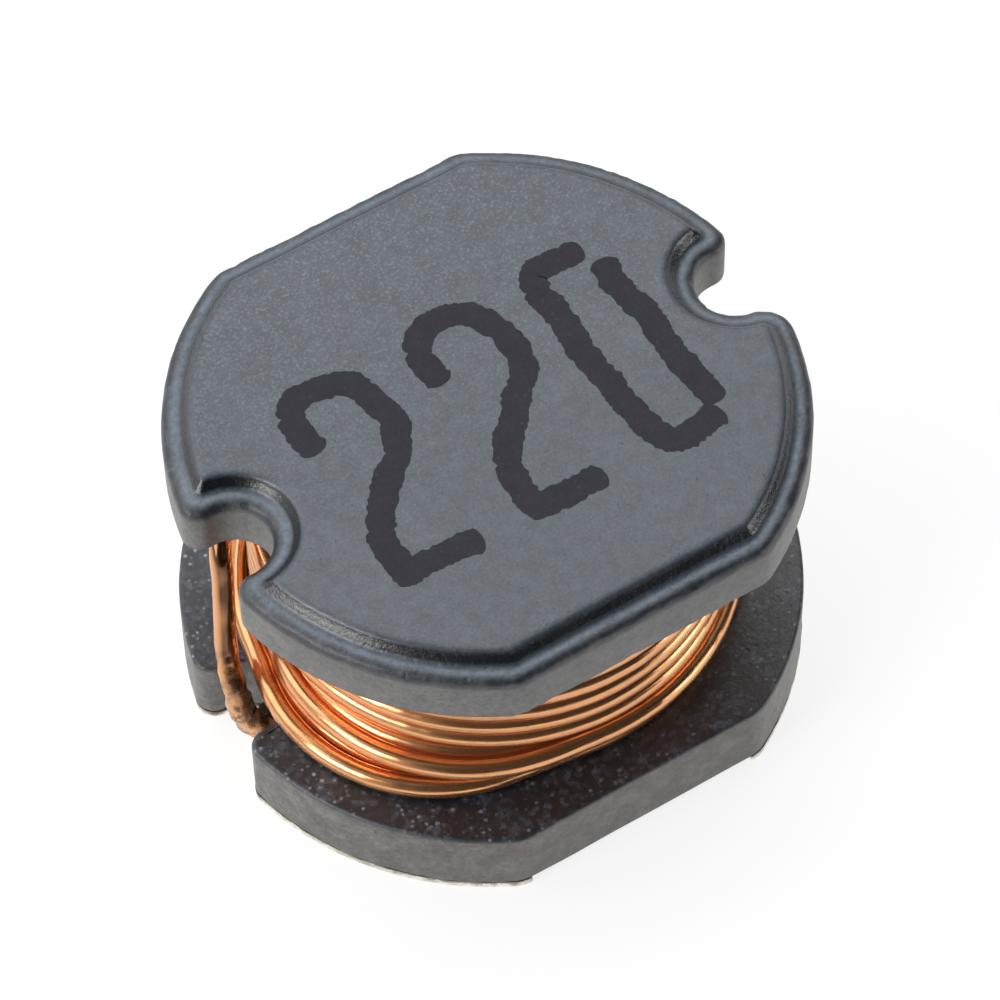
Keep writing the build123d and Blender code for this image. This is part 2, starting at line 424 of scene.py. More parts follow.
def flange_rings(inset, corner, lip, round_notch):
    """Whole outlines, one for each row: the quarter, mirrored into place four times."""
    inset, corner, lip = (np.asarray(v, float)[:, None] for v in (inset, corner, lip))
    plain = quarter(inset, corner, lip, round_notch)
    worn = quarter(inset, corner, lip * worn_lip_ratio, True) if round_notch else plain
    left = plain[:, ::-1] * [-1, 1]
    opposite = plain * [-1, -1]
    worn = worn[:, ::-1] * [1, -1]
    loop = np.concatenate([plain[:, :-1], left[:, :-1], opposite[:, :-1], worn[:, :-1]], 1)
    if round_notch:
        return loop
    # the lower notches are turned a little; the turn fades out along the round rim
    angle = np.arctan2(np.abs(loop[..., 1]), np.abs(loop[..., 0]))
    turn = lower_notch_turn * (1 - soft_step(angle, *turn_fades))
    cosine, sine = np.cos(turn), np.sin(turn)
    return np.stack([cosine * loop[..., 0] - sine * loop[..., 1],
                     sine * loop[..., 0] + cosine * loop[..., 1]], -1)


# %% [markdown]
# The profile is a list of stations. Each one says how far the outline is drawn in, how high it
# lies, how round its corners and lips are there, and what the surface is like: ground flat; dark,
# which is partly the fired skin and partly painted shade and dark reflection; or worn along an
# edge, where chips are cut and a painted dark line stands for the edge's shade. Short runs of
# stations make each edge round. Between the flanges the rings blend into the round post and out
# again.

# %% Profile of the drum
ink_thickness = 0.004
face_height = part_top - ink_thickness
rim_height = 4.667
upper_flange_bottom, lower_flange_top = 3.92, 1.08
lower_flange_bottom = pad_high.z / MM - 0.05
post_radius = 2.25


def bend(start, end, control, count):
    """Stations of a curved edge: a quadratic curve from start to end, pulled to control."""
    t = np.linspace(0, 1, count)[:, None]
    start, end, control = (np.asarray(v, float) for v in (start, end, control))
    return (1 - t) ** 2 * start + 2 * t * (1 - t) * control + t ** 2 * end


# station columns: inset, height, corner radius, lip radius, ground, dark, edge
wall = (corner_radius, lip_radius)
bottom, top = upper_flange_bottom, lower_flange_top
base = lower_flange_bottom
top_edges = (
    # the edge of the ground face, and the slope down from it
    ((0.46, face_height, 0.10, 0.06, 1, 0, 0),
     (0.335, face_height - 0.035, 0.11, 0.06, 0.2, 0.8, 0),
     (0.375, face_height, 0.10, 0.06, 0.9, 0.1, 0), 7),
    ((0.325, face_height - 0.05, 0.12, 0.07, 0.0, 1, 0),
     (0.26, rim_height + 0.050, 0.20, 0.09, 0, 1, 0),
     (0.29, face_height - 0.09, 0.16, 0.08, 0, 1, 0), 4),
    # the foot of the slope, and the narrow land with its rounded rim
    ((0.25, rim_height + 0.036, 0.22, 0.10, 0, 0.8, 0),
     (0.165, rim_height, 0.30, 0.13, 0, 0, 0),
     (0.215, rim_height + 0.002, 0.25, 0.11, 0, 0.3, 0), 7),
    ((0.14, rim_height - 0.001, 0.32, 0.15, 0, 0, 0.1),
     (0.0, rim_height - 0.135, *wall, 0, 0, 0.5),
     (0.012, rim_height - 0.010, 0.43, 0.23, 0, 0, 1.6), 10),
    # the wall, its lower edge, and the start of the face over the wire
    ((0.0, rim_height - 0.155, *wall, 0, 0, 0.15), (0.0, 4.00, *wall, 0, 0, 0),
     (0.0, 4.25, *wall, 0, 0, 0), 7),
    ((0.0, 3.965, *wall, 0, 0, 0.3), (0.03, bottom, 0.43, 0.22, 0, 0.6, 0.3),
     (0.0, bottom, *wall, 0, 0.2, 1), 5),
    ((0.07, bottom, 0.39, 0.19, 0, 1, 0), (0.16, bottom, 0.30, 0.13, 0, 1, 0),
     (0.12, bottom, 0.34, 0.16, 0, 1, 0), 4))
low_edges = (
    # the face under the wire ends in a worn edge
    ((0.10, top, 0.36, 0.16, 0, 1, 0), (0.07, top, 0.39, 0.18, 0, 1, 0),
     (0.08, top, 0.38, 0.17, 0, 1, 0), 3),
    ((0.05, top, 0.41, 0.2, 0, 1, 0), (0.0, top - 0.05, *wall, 0, 0.1, 0.2),
     (0.006, top - 0.006, 0.44, 0.23, 0, 0.8, 0.3), 6),
    # the wall and the edge of the underside
    ((0.0, 1.01, *wall, 0, 0, 0), (0.0, 0.13, *wall, 0, 0, 0), (0.0, 0.5, *wall, 0, 0, 0), 9),
    ((0.0, 0.11, *wall, 0, 0, 0), (0.06, base, 0.40, 0.2, 0, 0.1, 0),
     (0.01, base + 0.02, *wall, 0, 0, 0), 5),
    ((0.09, base, 0.37, 0.18, 0, 0.3, 0), (0.18, base, 0.28, 0.12, 0, 0.3, 0),
     (0.14, base, 0.32, 0.15, 0, 0.3, 0), 4))
top_profile, low_profile = (np.vstack([bend(*edge) for edge in edges])
                            for edges in (top_edges, low_edges))


def rings_of(profile, round_notch):
    """Rings (rows, columns, 3) and their surface columns (rows, columns, 3) for a profile."""
    flat = flange_rings(profile[:, 0], profile[:, 2], profile[:, 3], round_notch)
    height = np.broadcast_to(profile[:, 1, None, None], flat.shape[:2] + (1,))
    surface = np.broadcast_to(profile[:, None, 4:7], flat.shape[:2] + (3,))
    return np.concatenate([flat, height], -1), surface


def blend_rings(ring, other, shares):
    """Rings between two rings, at the given shares of the way."""
    shares = np.asarray(shares)[:, None, None]
    return ring[None] * (1 - shares) + other[None] * shares


def round_ring(ring, radius, height):
    """The ring's columns moved onto a circle of that radius, each at its own bearing; where the
    outline runs back at a notch, the bearings wait halfway instead of folding over."""
    bearing = np.unwrap(np.arctan2(ring[:, 1], ring[:, 0]))
    turn = np.sign(bearing[-1] - bearing[0])
    ahead = np.maximum.accumulate(turn * bearing)
    behind = np.minimum.accumulate((turn * bearing)[::-1])[::-1]
    bearing = turn * (ahead + behind) / 2
    return np.stack([radius * np.cos(bearing), radius * np.sin(bearing),
                     np.full(len(bearing), height)], -1)


top_rings, top_surface = rings_of(top_profile, True)
low_rings, low_surface = rings_of(low_profile, False)
face_rings = blend_rings(np.broadcast_to(top_rings[0].mean(0), top_rings[0].shape), top_rings[0],
                         [0.12, 0.3, 0.45, 0.6, 0.72, 0.82, 0.90, 0.96])
under_post = round_ring(top_rings[-1], post_radius, upper_flange_bottom)
over_post = round_ring(low_rings[0], post_radius, lower_flange_top)
under_rings = blend_rings(top_rings[-1], under_post, [0.3, 0.65, 1.0])
post_rings = blend_rings(under_post, over_post, [0.04, 0.5, 0.96])
floor_rings = blend_rings(over_post, low_rings[0], [0.0, 0.2, 0.4, 0.6, 0.8])
base_rings = blend_rings(low_rings[-1], np.broadcast_to(low_rings[-1].mean(0),
                                                        low_rings[-1].shape),
                         [0.1, 0.3, 0.5, 0.7, 0.9])


def plain_surface(rings, ground, dark):
    """Surface columns of rings that are the same all over."""
    return np.broadcast_to(np.array([ground, dark, 0.0]), rings.shape[:2] + (3,))


rings = np.concatenate([face_rings, top_rings, under_rings, post_rings, floor_rings, low_rings,
                        base_rings])
surface = np.concatenate([
    plain_surface(face_rings, 1, 0), top_surface, plain_surface(under_rings, 0, 1),
    plain_surface(post_rings, 0, 1), plain_surface(floor_rings, 0, 1), low_surface,
    plain_surface(base_rings, 0, 0.3)])
print("drum rings", rings.shape)

# %% [markdown]
# Firing and tumbling leave the walls slightly wavy, and small chips along the edges. Each vertex
# moves inwards, never outwards, by a share of two random fields, so that the drum keeps its
# size. The direction is the surface's own normal, from the cross product of the grid's two
# differences.

# %% Wear on the drum
def grid_normals(rings):
    """Outward unit normals of a grid of rings that run anticlockwise, from the top down: the
    cross product of its row and column differences."""
    along = np.gradient(rings, axis=0)
    around = np.roll(rings, -1, 1) - np.roll(rings, 1, 1)
    normal = np.cross(along, around)
    length = np.linalg.norm(normal, axis=-1, keepdims=True)
    return normal / np.maximum(length, 1e-9)


skin_wear, chip_depth, deepest_wear = 0.004, 0.022, 0.04


def drum_field(wavelength, seed):
    """A smooth random field over the drum's grid."""
    return ripple(rings.reshape(-1, 3), wavelength, seed).reshape(rings.shape[:2])


wavy, fine_wear = drum_field(1.1, 3), drum_field(0.16, 4)
chips = soft_step(drum_field(0.34, 5), 1.25, 1.9)
edge_share = np.clip(surface[..., 2], 0, 1)
loose = 1 - surface[..., 0]
depth = (skin_wear * loose * (1 + wavy)
         + edge_share * (skin_wear * (1 + fine_wear) + chip_depth * chips))
depth = np.clip(depth, 0, deepest_wear)
on_ground_face = np.abs(rings[..., 2] - face_height) < 1e-6
depth[on_ground_face] = 0
worn_rings = rings - grid_normals(rings) * depth[..., None]
print("deepest wear", round(float(depth.max()), 4), "mm")

# %% [markdown]
# ## Ferrite as a finish
#
# Ferrite is a dark ceramic with a high refractive index, so much of its grey is a broad, soft
# reflection. The top face was ground and is an even blue-grey. The slopes, the inside faces and
# the floor of the winding space are nearly black: partly the fired skin, partly painted shade and
# dark reflection. The walls are a warm grey with dark pores, the narrow land round the face has a
# painted bluish highlight, and the rounded edges have a painted dark line.
# The three numbers that each vertex carries choose between these colours, with the height and two
# noises: a crust that mottles the lower flange, and gravel, whose cells are single grains.

# %% Ferrite material
def make_ferrite():
    """Ferrite: greys chosen by the vertex marks and the height, times a fine grain, with pores,
    stains and, on the inside faces, small pale crystals; painted shade on the dark faces, a
    painted highlight on the land and a painted dark line along the edges."""
    g = Finish("fired_ferrite")
    ground, dark, edge = (g.mark(key) for key in ("ground", "dark", "edge"))
    x, y, z = g.add("ShaderNodeSeparateXYZ", {0: g.place()}).outputs
    is_low = g.remap(z, 2.0 * MM, 1.2 * MM)
    is_land = g.remap(z, 4.64 * MM, 4.655 * MM)
    grain = fired_grain(g, 26.0, 0.42, 0.30)
    rough_grain = fired_grain(g, 15.0, 0.50, 0.34)
    crust = g.noise(4.2 / MM, 7.0, Roughness=0.72)
    gravel, gravel_pick = g.cells(15 / MM)

    # the walls: warm grey, the lower one stained and crusted; the narrow land round the face is
    # lightened by a painted bluish highlight
    low_wall = g.blend(g.times(stains(g, 2.1, 0.58), 0.6), (0.072, 0.067, 0.061, 1),
                       (0.058, 0.044, 0.036, 1))
    low_wall = g.blend(g.remap(crust, 0.40, 0.62, 0.0, 0.75), low_wall, (0.205, 0.194, 0.178, 1))
    wall = g.blend(is_low, (0.122, 0.120, 0.116, 1), low_wall)
    # painted highlight: a blue-grey sheen on the land just below the face
    wall = g.blend(is_land, wall, (0.115, 0.150, 0.195, 1))
    face = g.blend(stains(g, 0.55, 0.62), (0.074, 0.094, 0.121, 1), (0.083, 0.102, 0.129, 1))
    colour = g.blend(ground, wall, face)

    # the dark faces: even above, mottled by gravel below; their near-black is partly the fired
    # skin and partly painted shade and dark reflection
    gravel_shade = g.times(g.remap(gravel_pick[0], 0.35, 1.0), g.remap(crust, 0.38, 0.64))
    mottled = g.blend(gravel_shade, (0.006, 0.010, 0.019, 1), (0.100, 0.122, 0.165, 1))
    colour = g.blend(dark, colour, g.blend(is_low, (0.010, 0.011, 0.015, 1), mottled))
    # painted shade: a dark line along the rounded edges, broken up by the crust noise
    edge_shade_line = g.times(edge, g.remap(crust, 0.36, 0.60, 0.65, 1.35), clamp=True)
    colour = g.blend(edge_shade_line, colour, (0.014, 0.017, 0.026, 1))

    # the grain, and dark pores in the lower wall
    not_ground = g.maths("SUBTRACT", 1.0, ground)
    colour = g.blend(1.0, colour, g.between(not_ground, grain["Shade"], rough_grain["Shade"]),
                     "MULTIPLY")
    pores = g.times(rough_grain["Pits"], g.times(is_low, 0.9))
    colour = g.blend(pores, colour, (0.012, 0.010, 0.010, 1))

    # pale crystals on the lower inside face, more of them towards the finish end
    clustered = g.maths("ADD", g.noise(13 / MM, 3.0, Roughness=0.75),
                        g.remap(g.noise(2.6 / MM, 2.0), 0.3, 0.7, -0.06, 0.05))
    sharp = g.times(g.remap(gravel, 0.50, 0.16), g.remap(gravel_pick[1], 0.60, 0.95))
    where = g.times(g.times(dark, is_low), g.remap(x, -1.2 * MM, -3.0 * MM, 0.45, 1.0))
    crystals = g.times(g.times(sharp, g.remap(clustered, 0.40, 0.56)), where, clamp=True)
    colour = g.blend(crystals, colour, (0.50, 0.54, 0.62, 1))

    # glints and dark dots on the ground face
    glint = g.times(g.remap(grain["Height"], 0.53, 0.66), ground)
    sparkle = g.times(glint, g.remap(y, -1.0 * MM, 3.0 * MM, 0.12, 0.85))
    colour = g.blend(sparkle, colour, (0.22, 0.27, 0.32, 1))
    dots = g.times(grain["Pits"], g.times(ground, 0.5))
    colour = g.blend(dots, colour, (0.030, 0.034, 0.042, 1))

    # the dark slopes above were only tumbled and are smoother
    above = g.maths("SUBTRACT", 1.0, is_low)
    rough = g.maths("SUBTRACT", g.remap(grain["Height"], 0.3, 0.8, 0.40, 0.52),
                    g.times(g.times(dark, above), 0.20))
    g.bump(0.40, 0.02 * MM, g.between(not_ground, grain["Height"], rough_grain["Height"]))
    return g.done(Base_Color=colour, Roughness=rough, IOR=1.8)


ferrite = make_ferrite()
drum_mesh = closed_surface("ferrite_drum", worn_rings,
                           {key: surface[..., k] for k, key in
                            enumerate(("ground", "dark", "edge"))})
drum = add_piece("ferrite_drum", drum_mesh, ferrite, ["ferrite_core"])

# %% [markdown]
# The two wire ends lie in grooves that are pressed into the underside, from each notch inwards.
# A groove is a slot with a round inner end, so its plan is a half circle and two straight sides.
# One closed cutter per groove is taken away from the drum, and the result replaces its mesh.

# %% Grooves
groove_half_width, groove_end, groove_top = 0.30, 2.25, 0.43
groove_mouth, cutter_foot = 3.3, -0.1
round_end_points = 25


def groove_cutter(side):
    """A closed slot-shaped solid: the same plan at two heights."""
    turn = np.linspace(np.pi / 2, 3 * np.pi / 2, round_end_points)
    plan = np.stack([groove_end + groove_half_width * np.cos(turn),
                     groove_half_width * np.sin(turn)], -1)
    plan = np.vstack([plan, [[groove_mouth, -groove_half_width],
                            [groove_mouth, groove_half_width]]])
    cosine, sine = side * math.cos(lower_notch_turn), side * math.sin(lower_notch_turn)
    plan = plan @ np.array([[cosine, sine], [-sine, cosine]])
    flat = np.stack([np.hstack([plan, np.full((len(plan), 1), z)])
                     for z in (cutter_foot, groove_top)])
    cutter = place_object("cutter", closed_surface("cutter", flat))
    cutter.data.shade_flat()
    return cutter


for side in (1, -1):
    cutter = groove_cutter(side)
    cut = drum.modifiers.new("groove", "BOOLEAN")
    cut.operation = "DIFFERENCE"
    cut.object = cutter
    evaluated = drum.evaluated_get(bpy.context.evaluated_depsgraph_get())
    carved = bpy.data.meshes.new_from_object(evaluated)
    drum.modifiers.clear()
    drum.data = carved
    bpy.data.objects.remove(cutter)
drum.data.name = "ferrite_drum"
edge_uses = np.zeros(len(drum.data.edges), int)
loop_edges = np.zeros(len(drum.data.loops), np.int32)
drum.data.loops.foreach_get("edge_index", loop_edges)
np.add.at(edge_uses, loop_edges, 1)
print("drum with grooves:", len(drum.data.polygons), "faces,",
      int((edge_uses != 2).sum()), "open edges")

# %% [markdown]
# ## Wire as a path and a tube
#
# Magnet wire is drawn copper under clear enamel. A winder lays it down turn by turn: each turn
# lies level round the front and climbs to the next one round the back. A level turn is a belt
# laid round discs, so it is made of arcs joined by the discs' common tangents; a disc that stands
# off the axis makes a bulge. A climb is a tilted half circle, which is level at both ends. The
# tube is then a circle carried along that path. Its side direction comes from a formula that
# suits both the level turns and the upright ends, so the tube never twists.

# %% Paths
wire_radius = 0.14
station_angle = 4
span_points = 16


def lengths_along(curve):
    """Distance along a line at each of its points: the running sum of its steps' lengths."""
    return np.concatenate([[0], np.cumsum(np.linalg.norm(np.diff(curve, axis=0), axis=1))])


def resample(curve, step):
    """The same line with points a fixed length apart, by interpolation along its length."""
    length = lengths_along(curve)
    stations = np.linspace(0, length[-1], max(int(length[-1] / step), 2))
    return np.stack([np.interp(stations, length, curve[:, k]) for k in range(3)], -1)


def through_points(points, step=0.03):
    """Even points on a Catmull-Rom curve: each span is a cubic whose end slopes follow the
    neighbouring points. The result is resampled by length."""
    points = np.asarray(points, float)
    ends = np.vstack([2 * points[0] - points[1], points, 2 * points[-1] - points[-2]])
    before, start, end, after = ends[:-3], ends[1:-2], ends[2:-1], ends[3:]
    t = np.linspace(0, 1, span_points, endpoint=False)[None, :, None]
    start_slope, end_slope = (end - before) / 2, (after - start) / 2
    curve = ((2 * t ** 3 - 3 * t ** 2 + 1) * start[:, None]
             + (t ** 3 - 2 * t ** 2 + t) * start_slope[:, None]
             + (3 * t ** 2 - 2 * t ** 3) * end[:, None]
             + (t ** 3 - t ** 2) * end_slope[:, None])
    curve = np.vstack([curve.reshape(-1, 3), points[-1:]])
    return resample(curve, step)


def on_circle(radius, bearing, height, middle=(0.0, 0.0)):
    """Points middle + radius (cos, sin) at bearings in degrees, at the given height."""
    a = np.radians(bearing)
    return np.stack(np.broadcast_arrays(middle[0] + radius * np.cos(a),
                                        middle[1] + radius * np.sin(a), height), -1)


def level_turn(height, start, end, swings):
    """A belt round discs. Each swing is (bearing, reach, bend radius): a disc of that bend
    radius, set off the axis so that it reaches out that far at its bearing. The belt leaves a
    disc where the common tangent touches: heading minus acos(radius difference / distance)."""
    runs = []
    arrive = start
    middles = [on_circle(reach - bend, bearing, 0.0)[:2] for bearing, reach, bend in swings]
    radii = [bend for _, _, bend in swings]
    for number, (middle, radius) in enumerate(zip(middles, radii)):
        leave = end
        if number + 1 < len(radii):
            apart = middles[number + 1] - middle
            heading = np.degrees(np.arctan2(apart[1], apart[0]))
            slant = np.degrees(np.arccos((radius - radii[number + 1]) / np.hypot(*apart)))
            leave = arrive + (heading - slant - arrive) % 360
        bearings = np.linspace(arrive, leave, max(int((leave - arrive) / station_angle), 2))
        runs.append(on_circle(radius, bearings, height, middle))
        arrive = leave
    return np.vstack(runs)


def climb(low, rise, begin, sweep=180.0, reach=None, end_reach=None, whole=180.0):
    """The first sweep degrees of a climb that takes whole degrees and is level at both ends:
    height = low + rise (1 - cos) / 2, on a circle off the axis that joins the two reaches."""
    reach = coil_radius if reach is None else reach
    end_reach = coil_radius if end_reach is None else end_reach
    turned = np.linspace(0, sweep, int(sweep / station_angle))[1:-1]
    radius = (reach + end_reach) / 2
    middle = on_circle(reach - radius, begin, 0.0)[:2]
    height = low + rise * (1 - np.cos(np.radians(180 * turned / whole))) / 2
    return on_circle(radius, begin + turned, height, middle)


def tube(name, path, radius, sides, attributes=None):
    """A round tube along a path: path + radius (side cos a + other sin a). The side points away
    from the part's axis on level and upright runs, and down where the run points at the axis.
    The radius is a number, one for each station, or one for each ring vertex."""
    forward = np.gradient(path, axis=0)
    forward /= np.linalg.norm(forward, axis=1)[:, None]
    outwards = path * [1, 1, 0]
    outwards /= np.maximum(np.linalg.norm(outwards, axis=1)[:, None], 1e-9)
    along_axis = np.abs((forward * outwards).sum(1))[:, None]
    side = outwards * (1 - along_axis) - np.array([0, 0, 1.0]) * along_axis
    side -= forward * (side * forward).sum(1)[:, None]
    side /= np.linalg.norm(side, axis=1)[:, None]
    other = np.cross(forward, side)
    a = np.linspace(0, 2 * np.pi, sides, endpoint=False)
    reach = np.asarray(radius, float)
    if reach.ndim < 2:
        reach = np.broadcast_to(reach, len(path))[:, None]
    ring = side[:, None] * np.cos(a)[:, None] + other[:, None] * np.sin(a)[:, None]
    rings = path[:, None] + reach[..., None] * ring
    uv = np.stack(np.broadcast_arrays(lengths_along(path)[:, None], (a / (2 * np.pi))[None]), -1)
    return closed_surface(name, rings, attributes, uv)


# %% [markdown]
# ## The outer layer and its two ends
#
# The start end rises out of its groove at the +X notch and runs into the lowest turn, which
# starts outside the turn that follows it, bulges out where the wire was pulled at the far notch
# and comes back to the coil. The second turn is loose as well, and the others are tight. After
# seven turns the wire leaves the top of the layer, dives down the -X notch and bends back into
# the other groove.

# %% Outer layer
coil_radius, under_radius = 2.86, 2.62
turn_pitch = 0.288
lowest_height = 1.245
level_turns = 7
climb_bearing, first_climb_bearing = 340, 385
finish_bearing = 131
rest_radius = 3.15
notch_reach = 3.47
start_bearing = math.degrees(math.acos(rest_radius / notch_reach))
on_coil = (0, coil_radius, coil_radius)
lowest_swings = ((0, rest_radius, rest_radius), (205, 3.41, 2.20), on_coil,
                 (climb_bearing, 3.08, 2.20), on_coil)
second_swings = (on_coil, (218, 3.18, 2.45), (climb_bearing, 3.00, 2.95))
back_bearing = climb_bearing - 180
first_sweep = back_bearing - first_climb_bearing + 360

runs = [level_turn(lowest_height, start_bearing, first_climb_bearing, lowest_swings),
        climb(lowest_height, turn_pitch, first_climb_bearing - 360, first_sweep,
              whole=first_sweep)]
for number in range(1, level_turns):
    height = lowest_height + number * turn_pitch
    swings = second_swings if number == 1 else (on_coil,)
    runs.append(level_turn(height, back_bearing, climb_bearing, swings))
    sweep = 180.0 if number + 1 < level_turns else 360 - climb_bearing + finish_bearing
    runs.append(climb(height, turn_pitch, climb_bearing, sweep, swings[-1][1]))
coil = resample(np.vstack(runs), 0.25)

# no turn is perfectly even: each wanders a little, outwards and in height
outward_wander, height_wander = 0.010, 0.006
flat_length = np.hypot(coil[:, 0], coil[:, 1])[:, None]
settle = (outward_wander * ripple(coil, 2.6, 21))[:, None] * (coil * [1, 1, 0]) / flat_length
coil = coil + settle + np.outer(height_wander * ripple(coil, 2.2, 22), [0, 0, 1.0])

start_end = [(2.55, 0.0, 0.24), (2.95, 0.0, 0.24), (3.22, 0.0, 0.27), (3.40, 0.0, 0.42),
             (3.46, 0.02, 0.68), (3.44, 0.07, 0.98), (3.36, 0.23, 1.18), (3.14, 0.71, 1.24)]
finish_end = [(-2.75, 1.50, 3.21), (-3.12, 1.10, 3.17), (-3.27, 0.88, 3.02), (-3.33, 0.76, 2.75),
              (-3.40, 0.65, 2.35), (-3.46, 0.57, 1.95), (-3.51, 0.49, 1.59),
              (-3.56, 0.33, 1.33), (-3.575, 0.17, 1.08), (-3.56, 0.10, 0.80),
              (-3.50, 0.06, 0.52), (-3.36, 0.04, 0.32), (-3.15, 0.02, 0.25),
              (-2.90, 0.01, 0.24), (-2.55, 0.0, 0.24)]
outer_path = through_points(np.vstack([start_end, coil[1:-1], finish_end]))
outer_station = lengths_along(outer_path)
print("outer wire", round(float(outer_station[-1]), 1), "mm long,", len(outer_path), "rings")

# %% [markdown]
# The layer underneath lies behind the outer one and shows above it and in its gaps; its two
# lowest turns follow the loose turns outwards. The outer wire is marked in three places: the
# lowest turn was scraped along its outer side, the lead that runs down to the notch carries a
# painted dark stripe along one side, a painted reflection of the dark coil beside it, and its
# foot carries a crust of burnt enamel and flux. All are masks over the tube's two parameters:
# distance along the wire and angle round it.

# %% Under layer, scrapes and crust
under_heights = (1.25, 1.54, 1.75, 2.00, 2.27, 2.55, 2.83, 3.11, 3.39, 3.67)
under_start, under_sweep = 120, 140.0
on_under = (0, under_radius, under_radius)
under_swings = {0: (on_under, (207, 3.12, 2.22), on_under),
                1: (on_under, (214, 2.92, 2.35), on_under)}
under_runs = []
for number, height in enumerate(under_heights[:-1]):
    swings = under_swings.get(number, (on_under,))
    under_runs.append(level_turn(height, under_start, climb_bearing, swings))
    under_runs.append(climb(height, under_heights[number + 1] - height, climb_bearing,
                            under_sweep, under_radius, under_radius, under_sweep))
under_path = resample(np.vstack(under_runs), 0.05)

outer_sides, under_sides = 18, 12
crust_height, bruise_depth, dent_depth = 0.034, 0.005, 0.0012
round_angle = np.linspace(0, 2 * np.pi, outer_sides, endpoint=False)
ring_points = (outer_path[:, None] + wire_radius
               * np.stack([np.cos(round_angle), np.sin(round_angle), 0 * round_angle], -1))
to_finish = outer_station[-1] - outer_station
bearing = np.degrees(np.arctan2(outer_path[:, 1], outer_path[:, 0])) % 360


def window(value, rise_start, rise_end, fall_start, fall_end):
    """0, then 1 from rise_end to fall_start, then 0 again, with soft sides."""
    return soft_step(value, rise_start, rise_end) * (1 - soft_step(value, fall_start, fall_end))


def facing(angle, low, high):
    """1 on the side of the wire that faces the angle, by the cosine of the angle between."""
    return soft_step(np.cos(round_angle - angle), low, high)


# distances along the wire are in millimetres, bearings in degrees
foot = window(to_finish, 0.6, 1.1, 1.5, 2.7)
first_turn = (outer_station > 6.0) & (outer_station < 17.0)
scraped = first_turn * (0.8 * window(bearing, 172, 186, 196, 222)
                        + 0.7 * window(bearing, 222, 240, 240, 266))
scraped_side = scraped[:, None] * facing(0.15, 0.55, 0.97)
patchy = soft_step(ripple(ring_points, 0.34, 31), -0.35, 0.75)
scuff = np.clip(scraped_side * patchy + foot[:, None] * (0.30 + 0.60 * patchy), 0, 1)
# painted reflection: a dark stripe along one side of the lead stands for the dark coil reflected
# in it; the burnt part at the foot is a real crust
coil_reflection_stripe = window(to_finish, 1.3, 1.9, 3.9, 4.8)[:, None] * facing(-1.60, 0.50, 0.86)
burnt = foot[:, None] * soft_step(ripple(ring_points, 0.24, 35), 0.3, 0.9)
burn_and_reflection = np.clip(coil_reflection_stripe * (0.92 + 0.25 * ripple(ring_points, 0.30, 34)) + 0.8 * burnt, 0, 1)
crust = foot[:, None] * (0.5 + 0.5 * ripple(ring_points, 0.19, 32)) * crust_height
bruise = bruise_depth * scraped_side * (0.5 + 0.5 * ripple(ring_points, 0.16, 33))
dents = dent_depth * ripple(outer_path, 0.25, 12)[:, None]
outer_radius = wire_radius + crust - bruise + dents
print("scuffed share", round(float(scuff.mean()), 3))

# %% [markdown]
# ## Enamelled copper as a finish
#
# Copper under clear enamel keeps its metal reflection and turns orange, then deep red, where
# light bounces between turns, so most of the colour comes by itself. The enamel adds a thin
# glossy coat. Drawn lines run along the wire, scuffed patches are browner and duller, and burnt
# places at the lead's foot and a painted dark reflection along the lead are nearly black.

# %% Copper material
def make_copper():
    """Copper: warm metal, a lengthwise drawn texture from the piece's own map, brown, dull, rough
    skin where the piece's scuff mark says so, and a near-black one where its second mark does:
    burnt enamel at the foot, and a painted dark reflection along the lead."""
    g = Finish("enamelled_copper_wire")
    brown = (0.16, 0.07, 0.03, 1)
    grain = fired_grain(g, 22.0, 0.30, 0.30)
    scuff = g.maths("ADD", g.mark("scuff"), g.times(grain["Height"], 0.8))
    scuff = g.remap(scuff, 0.62, 1.15)
    colour = g.blend(g.times(stains(g, 2.6, 0.42), 0.45), (0.84, 0.40, 0.175, 1),
                     (0.58, 0.21, 0.075, 1))
    skin = g.blend(g.remap(grain["Height"], 0.40, 0.62), brown, (0.85, 0.55, 0.30, 1))
    colour = g.blend(g.times(scuff, 0.8), colour, skin)
    # near-black: burnt enamel at the foot, and a painted reflection of the dark coil along the
    # lead
    colour = g.blend(g.times(g.mark("burn_and_reflection"), 0.93), colour, (0.045, 0.017, 0.008, 1))
    colour = g.blend(g.times(grain["Pits"], 0.55), colour, brown)

    # the drawn lines: noise drawn out along the wire by the map's scale
    lengthwise = g.add("ShaderNodeMapping", {"Vector": g.place().node.outputs["UV"],
                                             "Scale": (0.9, 30.0, 1.0)})
    drawn = g.add("ShaderNodeTexNoise", {"Vector": lengthwise.outputs[0], "Scale": 1.0,
                                         "Detail": 4.0}).outputs[0]
    rough = g.maths("ADD", g.remap(drawn, 0.3, 0.7, 0.15, 0.24), g.times(scuff, 0.25))
    relief = g.maths("ADD", g.times(drawn, 0.6), g.times(scuff, g.times(grain["Height"], 2.0)))
    g.bump(0.4, 0.012 * MM, relief)
    return g.done(Base_Color=colour, Roughness=rough, Metallic=0.88, Coat_Weight=0.30,
                  Coat_Roughness=0.08)


copper = make_copper()
outer_mesh = tube("outer_layer_wire", outer_path, outer_radius, outer_sides,
                  {"scuff": scuff, "burn_and_reflection": burn_and_reflection})
add_piece("outer_layer_wire", outer_mesh, copper, ["copper_winding"])
under_mesh = tube("under_layer_wire", under_path, wire_radius, under_sides)
add_piece("under_layer_wire", under_mesh, copper)

# %% [markdown]
# ## The value code
#
# Power inductors of every maker carry their value as plain figures: two digits and the number of
# noughts, in microhenries, here twenty-two. The figures are dabbed on as ink that spreads a
# little over the grain, so their edges are ragged. Each stroke is a ribbon along a line of a few
# points; its half width wanders, and it closes in round ends. The ink is a thin film that stands
# on the ground face and ends level with the part's highest point.

# %% Strokes of ink
stroke_half_width, stroke_step, cap_length = 0.175, 0.015, 0.11
ink_sinks, layer_step = 0.01, 0.0002


